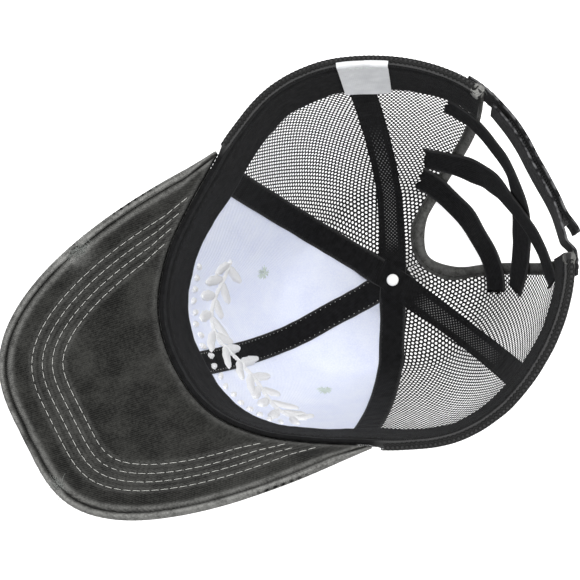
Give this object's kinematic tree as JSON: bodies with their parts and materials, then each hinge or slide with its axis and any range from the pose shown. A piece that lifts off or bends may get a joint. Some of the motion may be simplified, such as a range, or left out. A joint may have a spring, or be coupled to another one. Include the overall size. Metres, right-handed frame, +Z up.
{
  "type": "ponytail baseball cap",
  "caption": "Washed cotton baseball cap with mesh sides and back, a curved brim, and a ponytail opening bridged by a hook-and-loop strap and crossed elastic bands.",
  "frame": {"origin": "middle of the top button's flat outer face, on the floor that the upturned cap lies on", "axes": "+Z up out of the head opening, +X from the crown towards the brim, +Y to the wearer's right"},
  "size_m": [0.2629, 0.1808, 0.1431],
  "materials": {
    "washed_cotton": "matt washed twill, faded to light grey at the edges",
    "mesh": "satin knitted net with six-sided holes",
    "backing": "matt stiffened open weave",
    "black_tape": "matt twill tape",
    "elastic": "ribbed braided elastic",
    "strap": "matt napped loop tape",
    "hook": "fine hooks",
    "rivet": "satin",
    "label": "satin woven ribbon",
    "thread": "satin stitched thread"
  },
  "bodies": {
    "root": {"front_panel_right": "washed_cotton", "front_panel_left": "washed_cotton", "mesh_side_panel_right": "mesh", "mesh_side_panel_left": "mesh", "mesh_rear_panel_right": "mesh", "mesh_rear_panel_left": "mesh", "front_backing_right": "backing", "front_backing_left": "backing", "seam_tape_front": "black_tape", "seam_tape_front_right": "black_tape", "seam_tape_front_left": "black_tape", "seam_tape_rear_right": "black_tape", "seam_tape_rear_left": "black_tape", "sweatband": "black_tape", "arch_binding": "washed_cotton", "top_button": "washed_cotton", "button_rivet": "rivet", "brim": "washed_cotton", "brim_under_cover": "washed_cotton", "strap_outer": "strap", "hook_tape": "hook", "strap_inner": "strap", "elastic_band_top": "elastic", "elastic_band_middle": "elastic", "elastic_band_low": "elastic", "care_label": "label", "eyelet_right": "thread", "eyelet_left": "thread"}
  },
  "joints": []
}
